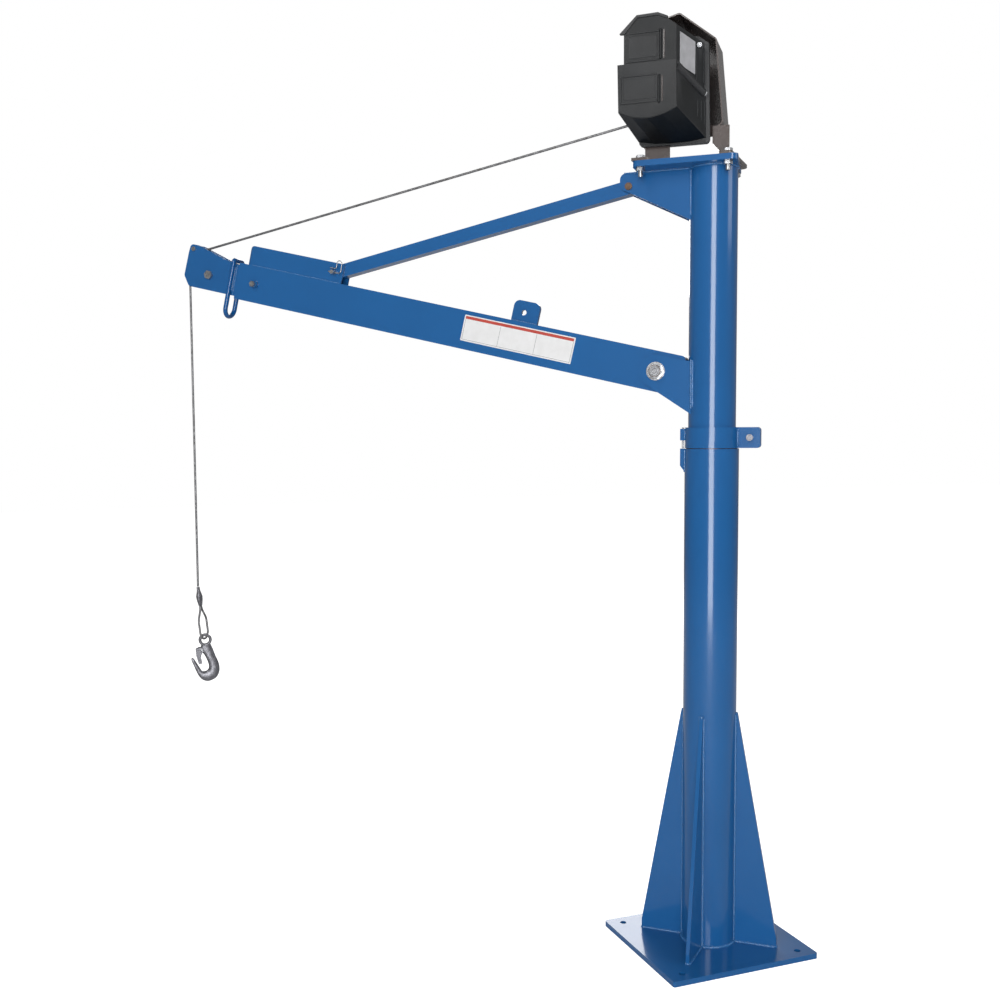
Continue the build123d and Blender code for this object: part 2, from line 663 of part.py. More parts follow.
def make_hook():
    half = HOOK_THICK / 2
    bowl_s, bowl_z = BOWL_CENTRE
    inner_s, inner_z = THROAT_CENTRE
    body = rod(BOWL_R, HOOK_THICK, (bowl_s, 0, bowl_z), "Y")
    body -= rod(THROAT_R, 3 * HOOK_THICK, (inner_s, 0, inner_z), "Y")
    mouth = [(inner_s - THROAT_R, inner_z), (3, -186), (33, -186), (inner_s + THROAT_R, inner_z)]
    body -= hook_plate(mouth, -20, 20)
    shank = [
        (-13, -152), (-19.5, -181), (-26.6, -212), (inner_s - THROAT_R, -210),
        (3.4, -186), (10, -173), (16.6, -166), (15.5, -158), (13, -150),
    ]
    body += hook_plate(shank, -half, half)
    arm = [(inner_s + THROAT_R, inner_z), (33.8, -186), (40.8, -182.6), (31.7, -220)]
    body += hook_plate(arm, -half, half)
    body += rod(3.9, HOOK_THICK, (37.2, 0, -184.2), "Y")
    eye = rod(EYE_OUT_R, HOOK_THICK, (0, 0, -EYE_DROP), "Y")
    body += eye
    body -= rod(EYE_HOLE_R, 60, (0, 0, -EYE_DROP), "Y")
    for side in (1, -1):
        body -= rod(EYE_OUT_R + 0.5, 10, (0, side * (EYE_THICK / 2 + 5), -EYE_DROP), "Y")
    body -= rod(LATCH_PIN_R, 60, LATCH_AT, "Y")
    keep("hook", hanging() * body)
    pin = rod(LATCH_PIN_R, HOOK_THICK + 6, LATCH_AT, "Y")
    keep("hook_latch_pin", hanging() * pin)
    gate = [
        (8, -158.5), (19, -156.5), (27, -160), (27.4, -176),
        (23.6, -198.5), (15, -198.5), (16.5, -180), (8, -166),
    ]
    inside = [(0, -150), (25.4, -150), (25.4, -176), (21.4, -210), (0, -210)]
    latch = hook_plate(gate, -half - 2, half + 2)
    latch -= hook_plate(inside, -half - 0.4, half + 0.4)
    latch -= rod(LATCH_PIN_R, 60, LATCH_AT, "Y")
    keep("hook_latch", hanging() * latch)
    coils = []
    for shift in (-1, 1):
        coil = Rot(90, 0, 0) * Torus(3.4, 0.7)
        coils.append(hanging() * Pos(*LATCH_AT) * Pos(0, shift * (half + 2.8), 0) * coil)
    keep("hook_latch_springs", Compound(children=coils))


# ---------------------------------------------------------------- top plate and winch
def make_top_plate():
    """plate a little narrower on its far side"""
    outline = [
        (PLATE_S0, PLATE_HALF),
        (PLATE_S0 + PLATE_TAPER, -PLATE_HALF),
        (PLATE_S1, -PLATE_HALF),
        (PLATE_S1, PLATE_HALF),
    ]
    sheet = Pos(0, 0, MAST_TOP) * make_face(FilletPolyline(*outline, radius=PLATE_CORNER_R, close=True))
    plate = extrude(sheet, PLATE_TOP - MAST_TOP)
    for s in WINCH_BOLT_S:
        for n in (-WINCH_BOLT_N, WINCH_BOLT_N):
            plate -= rod(WINCH_BOLT_R, 60, (s, n, PLATE_TOP))
    keep("top_plate", TURN * plate)


def make_winch_feet():
    """two foot bars across the plate, each with an upright leg under the winch frame"""
    low = PLATE_TOP
    front_s, rear_s = WINCH_BOLT_S
    front = block(front_s - 17, front_s + 17, -PLATE_HALF, PLATE_HALF, low, low + FOOT_THICK)
    front += block(92, 145, FRAME_NEAR_N, FRAME_NEAR_N + FOOT_THICK, low, FRAME_FOOT_Z)
    front += block(front_s - 17, 145, FRAME_FAR_N, FRAME_FAR_N + FOOT_THICK / 2, low, HOOD_LOW_Z)
    bar = [
        (rear_s + 17, PLATE_HALF), (rear_s - 9, PLATE_HALF),
        (rear_s - 24, -PLATE_HALF - 8), (rear_s + 17, -PLATE_HALF - 8),
    ]
    bar_face = make_face(FilletPolyline(*bar, radius=[4, 4, 16, 4], close=True))
    rear = Pos(0, 0, low) * extrude(bar_face, FOOT_THICK)
    leg = [
        (REAR_LEG_S - 17, low), (REAR_LEG_S + 2, low),
        (REAR_LEG_S + 2, low + 20), (REAR_LEG_S + 18, low + 38),
        (REAR_LEG_S + 18, HOOD_LOW_Z), (REAR_LEG_S - 17, HOOD_LOW_Z),
    ]
    rear += slab(leg, 0, FRAME_NEAR_N - FOOT_THICK, FRAME_NEAR_N)
    rear += block(REAR_LEG_S - 4, REAR_LEG_S + 2, FRAME_FAR_N, FRAME_NEAR_N, low, HOOD_LOW_Z)
    feet = []
    for s, foot in ((front_s, front), (rear_s, rear)):
        for n in (-WINCH_BOLT_N, WINCH_BOLT_N):
            foot -= rod(WINCH_BOLT_R, 60, (s, n, PLATE_TOP))
        feet.append(TURN * foot)
    keep("winch_feet", Compound(children=feet))


def make_winch_bolts():
    bolts = []
    nuts = []
    for s in WINCH_BOLT_S:
        for n in (-WINCH_BOLT_N, WINCH_BOLT_N):
            top = PLATE_TOP + 6
            shank = rod(WINCH_BOLT_R, top - MAST_TOP + 20, (s, n, (top + MAST_TOP - 20) / 2))
            bolts.append(TURN * (shank + hexagon(8.5, 6.5, (s, n, top + 3.25), "Z")))
            nut = hexagon(8.5, 8, (s, n, MAST_TOP - 4), "Z") - rod(WINCH_BOLT_R, 60, (s, n, MAST_TOP))
            nuts.append(TURN * nut)
    keep("winch_bolts", Compound(children=bolts))
    keep("winch_nuts", Compound(children=nuts))


def frame_outline():
    return [
        (REAR_LEG_S - 5, HOOD_LOW_Z),
        (155, HOOD_LOW_Z),
        (157, 1850),
        (150, 1962),
        (101, 2020),
        (73, 2027),
        (-5, 1965),
    ]


def make_winch_side_plate():
    outline = [
        (8, FRAME_FOOT_Z),
        (153, FRAME_FOOT_Z),
        (155, 1850),
        (148, 1925),
        (118, 1962),
        (30, 1966),
        (10, 1950),
    ]
    plate = slab(outline, [6, 10, 0, 12, 14, 12, 6], FRAME_NEAR_N, COVER_REAR_N)
    plate -= rod(DRUM_SHAFT_R + RUNNING_GAP, 400, (DRUM_S, 0, drum_z()), "Y")
    motor_s, motor_z = motor_centre()
    plate -= rod(8, 60, (motor_s, FRAME_NEAR_N, motor_z), "Y")
    keep("winch_side_plate", TURN * plate)


def make_winch_hood():
    wall = 3
    corner = [10, 10, 0, 12, 12, 10, 6]
    solid = slab(frame_outline(), corner, FRAME_FAR_N, FRAME_NEAR_N)
    core = make_face(FilletPolyline(*frame_outline(), radius=corner, close=True))
    core = offset(core, -wall)
    depth = FRAME_NEAR_N + 1 - (FRAME_FAR_N + FRAME_THICK)
    solid -= extrude(Plane.XZ.offset(-FRAME_NEAR_N - 1) * core, depth)
    low_n = FRAME_FAR_N + FRAME_THICK
    solid -= block(60, 200, low_n, 40, 1700, 1935)
    solid -= block(-10, 200, low_n, 40, 1700, HOOD_LOW_Z + 8)
    solid -= rod(DRUM_SHAFT_R + RUNNING_GAP, 200, (DRUM_S, FRAME_FAR_N, drum_z()), "Y")
    keep("winch_hood", TURN * solid)


def drum_z():
    return rope_height(DRUM_S) + (DRUM_CORE_R + ROPE_R + 0.05) / math.cos(rad(ROPE_SLOPE))


def make_drum():
    z = drum_z()
    drum = rod(DRUM_CORE_R, 70, (DRUM_S, -31, z), "Y")
    for n in (-66, 6):
        drum += rod(DRUM_FLANGE_R, 4, (DRUM_S, n, z), "Y")
    drum -= rod(DRUM_SHAFT_R, 200, (DRUM_S, -31, z), "Y")
    keep("rope_drum", TURN * drum)
    shaft = rod(DRUM_SHAFT_R, 126, (DRUM_S, -25, z), "Y")
    keep("drum_shaft", TURN * shaft)
    coil = []
    for turn in range(10):
        coil.append((DRUM_CORE_R + ROPE_R + 0.02, -6.2 - turn * (2 * ROPE_R + 0.25)))
    rings = []
    for radius, n in coil:
        ring = Torus(radius, ROPE_R)
        rings.append(TURN * Pos(DRUM_S, n, z) * Rot(90, 0, 0) * ring)
    keep("rope_coil", Compound(children=rings))


def motor_centre():
    reach = GEAR_MODULE * (GEAR_TEETH + PINION_TEETH) / 2
    side = 24.0
    return DRUM_S + side, drum_z() + math.sqrt(reach**2 - side**2)


def toothed_wheel(teeth, width, phase):
    """simple straight toothed wheel"""
    pitch_r = GEAR_MODULE * teeth / 2
    root = pitch_r - 1.25 * GEAR_MODULE
    tip = pitch_r + 0.8 * GEAR_MODULE
    step = 360 / teeth
    points = []
    for i in range(teeth):
        for share, radius in ((-0.32, root), (-0.13, tip), (0.13, tip), (0.32, root)):
            angle = rad(phase + (i + share) * step)
            points.append((radius * math.cos(angle), radius * math.sin(angle)))
    return extrude(make_face(Polyline(*points, close=True)), width / 2, both=True)


def make_gears():
    z = drum_z()
    motor_s, motor_z = motor_centre()
    line = math.degrees(math.atan2(motor_z - z, motor_s - DRUM_S))
    face_n = 28.0
    # the wheels are drawn flat and stood up, so their angles run the other way round
    gear = Rot(90, 0, 0) * toothed_wheel(GEAR_TEETH, 10, line)
    gear = Pos(DRUM_S, face_n, z) * gear - rod(DRUM_SHAFT_R, 200, (DRUM_S, 0, z), "Y")
    keep("drum_gear", TURN * gear)
    half_step = 180 / PINION_TEETH
    pinion = Rot(90, 0, 0) * toothed_wheel(PINION_TEETH, 12, line + 180 + half_step)
    shaft = Pos(motor_s, face_n, motor_z) * pinion
    shaft += rod(5, 84, (motor_s, 62, motor_z), "Y")
    keep("motor_pinion_shaft", TURN * shaft)


def make_motor():
    s, z = motor_centre()
    can = rod(MOTOR_R, 56, (s, 66, z), "Y") - rod(MOTOR_R - 3, 50, (s, 66, z), "Y")
    can -= rod(5.3, 300, (s, 66, z), "Y")
    for angle in (30, 90, 150):
        foot_s = s + (MOTOR_R - 6) * math.cos(rad(angle))
        foot_z = z + (MOTOR_R - 6) * math.sin(rad(angle))
        can += rod(5, 38 - COVER_REAR_N, (foot_s, (38 + COVER_REAR_N) / 2, foot_z), "Y")
    keep("motor_housing", TURN * can)


def flat_loft(rear_points, front_points, rear, front):
    """solid between two outlines with as many corners, at two distances n"""
    low = Plane.XZ.offset(-rear) * make_face(Polyline(*rear_points, close=True))
    high = Plane.XZ.offset(-front) * make_face(Polyline(*front_points, close=True))
    return loft([low.face(), high.face()], ruled=True)


def cover_blocks(inset, cut):
    """lower box with a curved belly, set forward of the upper box with its ridged roof"""
    step = COVER_STEP_Z
    rear_step = COVER_STEP_Z - COVER_STEP_FALL
    low = rear_step - 14
    side_front = COVER_SIDE_S + COVER_SIDE_RISE
    belly_front = [
        (59 + inset, 1803 + inset), (89, 1791 + inset), (121, 1786 + inset), (153, 1790 + inset),
        (181 - inset, 1801 + inset), (183 - inset, step - inset), (60.5 + inset, step - inset),
    ]
    belly_rear = [
        (8 + inset, 1752 + inset), (45, 1748 + inset), (82, 1748 + inset), (120, 1750 + inset),
        (154 - inset, 1756 + inset), (157 - inset, rear_step - inset), (9 + inset, rear_step - inset),
    ]
    top_front = [
        (side_front + inset, low), (171 - inset, low), (171 - inset, 1964),
        (143, 1992 - inset), (100, 1993 - inset), (82, 1985 - inset), (side_front + inset, 1970),
    ]
    top_rear = [
        (COVER_SIDE_S + inset, low), (154 - inset, low), (149 - inset, 1925),
        (118, 1964 - inset), (60, 1970 - inset), (30, 1962 - inset), (COVER_SIDE_S + inset, 1949),
    ]
    lower = flat_loft(belly_rear, belly_front, COVER_REAR_N - cut, COVER_FRONT_N - inset)
    upper = flat_loft(top_rear, top_front, COVER_REAR_N - cut, COVER_UPPER_N - inset)
    return lower + upper


def bar_between(start, end, radius):
    """round bar between two points"""
    line = Line(start, end)
    return sweep(Plane(line @ 0, z_dir=line % 0) * Circle(radius), path=line)


def make_cover_screws():
    screws = []
    for s, n, z in SCREW_PLACES:
        screws.append(rod(SCREW_HEAD_R, n - COVER_REAR_N, (s, (n + COVER_REAR_N) / 2, z), "Y"))
    keep("cover_screws", Compound(children=[TURN * screw for screw in screws]))
    return screws


def make_cover():
    shell = cover_blocks(0, 0)
    flange = [
        (5, 1747), (155, 1750), (159, 1850), (151, 1928),
        (119, 1967), (60, 1973), (28, 1966), (8, 1951),
    ]
    shell += slab(flange, [8, 8, 0, 8, 12, 0, 10, 6], COVER_REAR_N, COVER_REAR_N + 10)
    shell += bar_between((60, 117, 1884), (18, 38, SCREW_PLACES[1][2]), 7)
    shell -= cover_blocks(COVER_WALL, 1)
    roof = [
        (100, 1991.5), (143, 1990.5), (169, 1961), (180, 1962),
        (144, 1996), (100, 1997), (80, 1988), (82, 1983.5),
    ]
    shell += slab(roof, 0, COVER_UPPER_N - 8, COVER_UPPER_N + 2)
    for screw in make_cover_screws():
        shell -= screw
    keep("winch_cover", TURN * shell)


def make_data_plate():
    """blank plate on the flat mast side of the cover, its ends level with the sloping bar below"""
    depth = COVER_UPPER_N - COVER_REAR_N
    lean = math.degrees(math.atan2(COVER_SIDE_RISE, depth))
    half = DATA_PLATE_W / 2
    outline = [
        (-half, DATA_PLATE_LOW - DATA_PLATE_FALL / 2),
        (half, DATA_PLATE_LOW + DATA_PLATE_FALL / 2),
        (half, DATA_PLATE_HIGH + DATA_PLATE_FALL / 2),
        (-half, DATA_PLATE_HIGH - DATA_PLATE_FALL / 2),
    ]
    face = Plane.YZ * make_face(Polyline(*outline, close=True))
    plate = Pos(-RUNNING_GAP - 1, 0, 0) * extrude(face, 1)
    middle_s = COVER_SIDE_S + COVER_SIDE_RISE * (DATA_PLATE_N - COVER_REAR_N) / depth
    middle = Pos(middle_s, DATA_PLATE_N, 0)
    keep("winch_data_plate", TURN * middle * Rot(0, 0, -lean) * plate)


for step in (
    make_base, make_pedestal, make_gussets, make_lock_lugs, make_lock_pin, make_mast, make_collar,
    make_boom_brackets, make_pivot_bolt, make_outer_boom, make_boom_lug, make_strut_guard,
    make_placard, make_clamp_screw, make_strut, make_strut_low_pin, make_strut_brackets,
    make_inner_boom, make_head, make_head_bolts, make_anchor_loop, make_sheave, make_rope,
    make_ferrule, make_rope_loop, make_hook, make_top_plate, make_winch_feet, make_winch_bolts,
    make_winch_side_plate, make_winch_hood, make_drum, make_gears, make_motor, make_cover,
    make_data_plate,
):
    step()

for name, shape in NODES.items():
    export_step(shape, "parts/" + name + ".step")
print(len(NODES), "nodes written")
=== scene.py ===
import json
import math
import random

import bmesh
import bpy
from mathutils import Matrix, Vector


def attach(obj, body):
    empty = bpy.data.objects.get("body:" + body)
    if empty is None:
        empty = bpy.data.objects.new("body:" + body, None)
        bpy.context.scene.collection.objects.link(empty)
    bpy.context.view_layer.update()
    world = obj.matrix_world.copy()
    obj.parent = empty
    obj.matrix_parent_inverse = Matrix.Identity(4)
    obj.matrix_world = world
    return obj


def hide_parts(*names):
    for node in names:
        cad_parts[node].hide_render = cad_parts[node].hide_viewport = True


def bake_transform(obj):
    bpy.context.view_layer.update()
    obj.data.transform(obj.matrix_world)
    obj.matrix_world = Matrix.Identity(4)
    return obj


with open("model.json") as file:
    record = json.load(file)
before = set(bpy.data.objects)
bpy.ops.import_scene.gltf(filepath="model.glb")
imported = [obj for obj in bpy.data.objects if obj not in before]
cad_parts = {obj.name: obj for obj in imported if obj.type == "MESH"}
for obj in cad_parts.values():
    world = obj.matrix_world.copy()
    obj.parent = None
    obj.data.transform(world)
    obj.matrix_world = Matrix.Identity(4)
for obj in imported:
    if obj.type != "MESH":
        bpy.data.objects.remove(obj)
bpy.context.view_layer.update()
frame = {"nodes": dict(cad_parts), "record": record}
bpy.context.scene.view_settings.view_transform = "Standard"
NODES = frame["nodes"]
RNG = random.Random(7)

# ------------------------------------------------------------------ places, in metres
SWING = math.radians(140)
U = Vector((math.cos(SWING), math.sin(SWING), 0))
N = Vector((-math.sin(SWING), math.cos(SWING), 0))
Z = Vector((0, 0, 1))
PIVOT_S, PIVOT_Z = 118.0, 1271.3
INCLINE = math.radians(13.2)
ALONG = U * math.cos(INCLINE) + Z * math.sin(INCLINE)
ACROSS = -U * math.sin(INCLINE) + Z * math.cos(INCLINE)
MM = 0.001
ROPE_DROP_S = 1306.1
ROPE_CORNER_Z = 1588.4
FERRULE_TOP_Z = 748.0
ROPE_SLOPE = math.tan(math.radians(10.94))
EYE_DROP = 139.0

def at(s, n, z):
    """a point given in millimetres along the boom direction, towards its near side, and up"""
    return (U * s + N * n + Z * z) * MM


def on_boom(a, h, n):
    """a point given in millimetres along and across the boom from its pivot"""
    return at(PIVOT_S, 0, PIVOT_Z) + (ALONG * a + ACROSS * h + N * n) * MM


def polar(r, angle, z):
    """a point by radius in millimetres, angle from the base's long side and height"""
    return Vector((r * math.cos(math.radians(angle)), r * math.sin(math.radians(angle)), z)) * MM


HANG = (
    Matrix.Translation(at(ROPE_DROP_S, 0, FERRULE_TOP_Z))
    @ Matrix.Rotation(SWING + math.radians(34), 4, "Z")
    @ Matrix.Rotation(math.radians(6), 4, "Y")
)


def hang(x, y, z):
    """a point in millimetres from the top of the ferrule, z up the hanging rope"""
    return HANG @ (Vector((x, y, z)) * MM)


# ------------------------------------------------------------------ camera
def make_camera():
    """the photograph's view"""
    data = bpy.data.cameras.new("camera")
    data.sensor_width = 36
    data.lens = 41.02
    data.shift_x = 0.00825
    data.shift_y = 0.01159
    data.clip_start = 0.05
    data.clip_end = 60
    cam = bpy.data.objects.new("camera", data)
    bpy.context.scene.collection.objects.link(cam)
    right = Vector((0.934453, -0.356033, -0.006168))
    up = Vector((0.032193, 0.067216, 0.997219))
    forward = Vector((0.354629, 0.932053, -0.074272))
    turn = Matrix((right, up, -forward)).transposed().to_4x4()
    cam.matrix_world = Matrix.Translation((-1.32716, -2.14354, 1.15321)) @ turn
    bpy.context.scene.camera = cam


make_camera()


# ------------------------------------------------------------------ materials
def new_material(name):
    """a material, its node tree and its shader"""
    mat = bpy.data.materials.new(name)
    mat.use_nodes = True
    tree = mat.node_tree
    shader = tree.nodes["Principled BSDF"]
    return mat, tree, shader


def node(tree, kind, **values):
    """a node with its settings"""
    made = tree.nodes.new(kind)
    for key, value in values.items():
        setattr(made, key, value)
    return made


def coords(tree, scale=(1, 1, 1)):
    """object coordinates in metres, stretched"""
    source = node(tree, "ShaderNodeTexCoord")
    mapping = node(tree, "ShaderNodeMapping")
    mapping.inputs["Scale"].default_value = scale
    tree.links.new(source.outputs["Object"], mapping.inputs["Vector"])
    return mapping.outputs["Vector"]


def noise(tree, where, scale, detail=3, rough=0.5):
    made = node(tree, "ShaderNodeTexNoise")
    made.inputs["Scale"].default_value = scale
    made.inputs["Detail"].default_value = detail
    made.inputs["Roughness"].default_value = rough
    tree.links.new(where, made.inputs["Vector"])
    return made.outputs["Fac"]


def ramp(tree, value, stops):
    made = node(tree, "ShaderNodeValToRGB")
    bar = made.color_ramp
    while len(bar.elements) < len(stops):
        bar.elements.new(0.5)
    for element, (place, colour) in zip(bar.elements, stops):
        element.position = place
        element.color = (*colour, 1) if len(colour) == 3 else colour
    tree.links.new(value, made.inputs["Fac"])
    return made.outputs["Color"]


def mix(tree, factor, one, two, mode="MIX"):
    made = node(tree, "ShaderNodeMix", data_type="RGBA", blend_type=mode)
    for socket, value in ((made.inputs[0], factor), (made.inputs[6], one), (made.inputs[7], two)):
        if isinstance(value, bpy.types.NodeSocket):
            tree.links.new(value, socket)
        else:
            socket.default_value = value if isinstance(value, float) else (*value[:3], 1)
    return made.outputs[2]


def spread(tree, value, low, high):
    """a value from 0 to 1 mapped between two numbers"""
    made = node(tree, "ShaderNodeMapRange")
    made.inputs["To Min"].default_value = low
    made.inputs["To Max"].default_value = high
    tree.links.new(value, made.inputs["Value"])
    return made.outputs["Result"]


def bump(tree, shader, height, strength, distance, under=None):
    made = node(tree, "ShaderNodeBump")
    made.inputs["Strength"].default_value = strength
    made.inputs["Distance"].default_value = distance
    tree.links.new(height, made.inputs["Height"])
    if under is not None:
        tree.links.new(under, made.inputs["Normal"])
    tree.links.new(made.outputs["Normal"], shader.inputs["Normal"])
    return made.outputs["Normal"]


def grey(v):
    return (v, v, v)


def edges(tree, low, high):
    """1 on sharp outer edges, 0 on flats"""
    geo = node(tree, "ShaderNodeNewGeometry")
    return ramp(tree, geo.outputs["Pointiness"], [(low, grey(0)), (high, grey(1))])


def blue_paint():
    """glossy sprayed enamel: slight orange peel, faint clouding, thinner and paler on sharp edges"""
    mat, tree, shader = new_material("blue_paint")
    where = coords(tree)
    cloud = noise(tree, where, 5, 4)
    base = ramp(tree, cloud, [(0.3, (0.001, 0.074, 0.250)), (0.7, (0.002, 0.088, 0.288))])
    worn = edges(tree, 0.53, 0.62)
    base = mix(tree, spread(tree, worn, 0.0, 0.25), base, (0.04, 0.18, 0.42))
    dust = ramp(tree, noise(tree, where, 60, 5, 0.7), [(0.60, grey(0)), (0.80, grey(1))])
    base = mix(tree, spread(tree, dust, 0.0, 0.12), base, (0.03, 0.11, 0.28))
    tree.links.new(base, shader.inputs["Base Color"])
    rough = noise(tree, where, 14, 3)
    tree.links.new(spread(tree, rough, 0.30, 0.42), shader.inputs["Roughness"])
    shader.inputs["Specular IOR Level"].default_value = 0.08
    shader.inputs["Coat Weight"].default_value = 1.0
    shader.inputs["Coat Roughness"].default_value = 0.12
    peel = noise(tree, where, 420, 2)
    soft = bump(tree, shader, peel, 0.06, 0.0003)
    bump(tree, shader, noise(tree, where, 30, 3), 0.06, 0.0015, soft)
    return mat


def weld_paint():
    """the same enamel over rough weld metal and spatter, with glints painted into the base colour as lighter
    spots (painted highlight)
    """
    mat, tree, shader = new_material("weld_paint")
    where = coords(tree)
    grain = noise(tree, where, 700, 4, 0.65)
    # painted highlight: the pale blue end of this grain ramp paints glints into the weld's colour
    base = ramp(tree, grain, [(0.35, (0.006, 0.070, 0.240)), (0.66, (0.05, 0.22, 0.50))])
    tree.links.new(base, shader.inputs["Base Color"])
    tree.links.new(spread(tree, grain, 0.14, 0.36), shader.inputs["Roughness"])
    shader.inputs["Coat Weight"].default_value = 0.7
    shader.inputs["Coat Roughness"].default_value = 0.08
    bump(tree, shader, grain, 0.5, 0.0008)
    return mat


def bare_steel(name, one, two, rough, stretch=(1, 1, 1), metallic=1.0, spots=0.0):
    """plated or bare metal: fine turning marks, mottled plating, dirt in patches"""
    mat, tree, shader = new_material(name)
    where = coords(tree)
    mottled = noise(tree, where, 120, 4, 0.6)
    base = ramp(tree, mottled, [(0.35, one), (0.68, two)])
    dirt = ramp(tree, noise(tree, where, 45, 4, 0.7), [(0.55, grey(0)), (0.72, grey(1))])
    base = mix(tree, spread(tree, dirt, 0.0, 0.35 + spots), base, (0.12, 0.10, 0.08))
    tree.links.new(base, shader.inputs["Base Color"])
    shader.inputs["Metallic"].default_value = metallic
    lines = noise(tree, coords(tree, stretch), 900, 3, 0.6)
    tree.links.new(spread(tree, lines, rough - 0.07, rough + 0.12), shader.inputs["Roughness"])
    bump(tree, shader, lines, 0.16, 0.0003)
    return mat


def black_enamel():
    """dark brown-black stove enamel over pressed sheet"""
    mat, tree, shader = new_material("black_enamel")
    where = coords(tree)
    cloud = noise(tree, where, 18, 4)
    base = ramp(tree, cloud, [(0.3, (0.012, 0.009, 0.009)), (0.7, (0.032, 0.022, 0.020))])
    worn = edges(tree, 0.53, 0.58)
    base = mix(tree, spread(tree, worn, 0.0, 0.5), base, (0.12, 0.09, 0.08))
    tree.links.new(base, shader.inputs["Base Color"])
    tree.links.new(spread(tree, noise(tree, where, 30, 3), 0.18, 0.34), shader.inputs["Roughness"])
    shader.inputs["Coat Weight"].default_value = 0.6
    shader.inputs["Coat Roughness"].default_value = 0.1
    bump(tree, shader, noise(tree, where, 500, 3), 0.1, 0.0004)
    return mat


def black_plastic():
    """moulded black plastic with a fine spark-eroded grain and scuffed edges"""
    mat, tree, shader = new_material("black_plastic")
    where = coords(tree)
    cloud = noise(tree, where, 12, 4)
    base = ramp(tree, cloud, [(0.3, (0.004, 0.005, 0.006)), (0.7, (0.009, 0.011, 0.013))])
    worn = edges(tree, 0.53, 0.60)
    base = mix(tree, spread(tree, worn, 0.0, 0.35), base, (0.10, 0.10, 0.105))
    tree.links.new(base, shader.inputs["Base Color"])
    grain = noise(tree, where, 1400, 2, 0.6)
    tree.links.new(spread(tree, noise(tree, where, 25, 3), 0.32, 0.48), shader.inputs["Roughness"])
    shader.inputs["Specular IOR Level"].default_value = 0.32
    bump(tree, shader, grain, 0.16, 0.0003)
    return mat


def film(name, one, two, rough):
    """printed film or foil with a faint sheen and small marks"""
    mat, tree, shader = new_material(name)
    where = coords(tree)
    cloud = noise(tree, where, 60, 4)
    base = ramp(tree, cloud, [(0.3, one), (0.7, two)])
    tree.links.new(base, shader.inputs["Base Color"])
    tree.links.new(spread(tree, noise(tree, where, 90, 3), rough, rough + 0.12), shader.inputs["Roughness"])
    bump(tree, shader, noise(tree, where, 240, 3), 0.08, 0.0003)
    return mat


BLUE = blue_paint()
WELD = weld_paint()
BAND = film("placard_band", (0.42, 0.045, 0.03), (0.50, 0.06, 0.04), 0.30)
PRINT = film("placard_lines", (0.20, 0.20, 0.21), (0.26, 0.26, 0.27), 0.34)
ZINC = bare_steel("zinc_steel", (0.30, 0.31, 0.33), (0.62, 0.63, 0.65), 0.24, (1, 1, 14), 0.9)
GALV = bare_steel("galvanised_steel", (0.15, 0.15, 0.165), (0.24, 0.24, 0.265), 0.32, (3, 3, 3), 0.7, -0.15)
WIRE = bare_steel("rope_wire", (0.14, 0.14, 0.145), (0.32, 0.32, 0.33), 0.38, (6, 6, 6), 0.6, 0.25)
ENAMEL = black_enamel()
PLASTIC = black_plastic()
PLACARD = film("white_placard", (0.72, 0.72, 0.72), (0.77, 0.77, 0.775), 0.28)
FOIL = film("silver_label", (0.36, 0.36, 0.38), (0.44, 0.44, 0.46), 0.32)
PIN = bare_steel("brown_pin", (0.06, 0.035, 0.022), (0.16, 0.10, 0.065), 0.38, (1, 1, 8), 0.7)
BY_SLOT = {
    "blue_paint": BLUE,
    "zinc_steel": ZINC,
    "galvanised_steel": GALV,
    "rope_wire": WIRE,
    "black_enamel": ENAMEL,
    "black_plastic": PLASTIC,
    "white_placard": PLACARD,
    "silver_label": FOIL,
    "brown_pin": PIN,
}
BY_NODE = {"hook_latch": GALV, "collar_pinch_bolt": GALV, "thrust_washer": PIN}


def dress_nodes():
    """finish and softened edges for every CAD node"""
    sharp = {"rope_coil", "wire_rope", "rope_loop", "hairpin_clip", "hook_latch_springs", "drum_gear"}
    for part in frame["record"]["subparts"]:
        name = part["node"]
        obj = NODES[name]
        mat = BY_NODE.get(name, BY_SLOT[part["material_slot"]])
        if not obj.material_slots:
            obj.data.materials.append(mat)
        for holder in obj.material_slots:
            holder.material = mat
        for face in obj.data.polygons:
            face.use_smooth = True
        if name not in sharp:
            soft = obj.modifiers.new("edges", "BEVEL")
            soft.width = 0.0009
            soft.segments = 2
            soft.limit_method = "ANGLE"
            soft.angle_limit = math.radians(32)
            soft.use_clamp_overlap = True
        even = obj.modifiers.new("normals", "WEIGHTED_NORMAL")
        even.keep_sharp = True
        even.weight = 80


dress_nodes()


# ------------------------------------------------------------------ mesh helpers
def make_object(name, verts, faces, mat, body, smooth=True):
    data = bpy.data.meshes.new(name)
    data.from_pydata([tuple(v) for v in verts], [], faces)
    data.update()
    for face in data.polygons:
        face.use_smooth = smooth
    data.materials.append(mat)
    obj = bpy.data.objects.new(name, data)
    bpy.context.scene.collection.objects.link(obj)
    if body:
        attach(obj, body)
    return obj


def resample(points, step):
    """points every step along a polyline, with the distance of each"""
    out = [(points[0].copy(), 0.0)]
    gone = 0.0
    want = step
    for a, b in zip(points, points[1:]):
        length = (b - a).length
        while want <= gone + length:
            out.append((a.lerp(b, (want - gone) / length), want))
            want += step
        gone += length
    return out


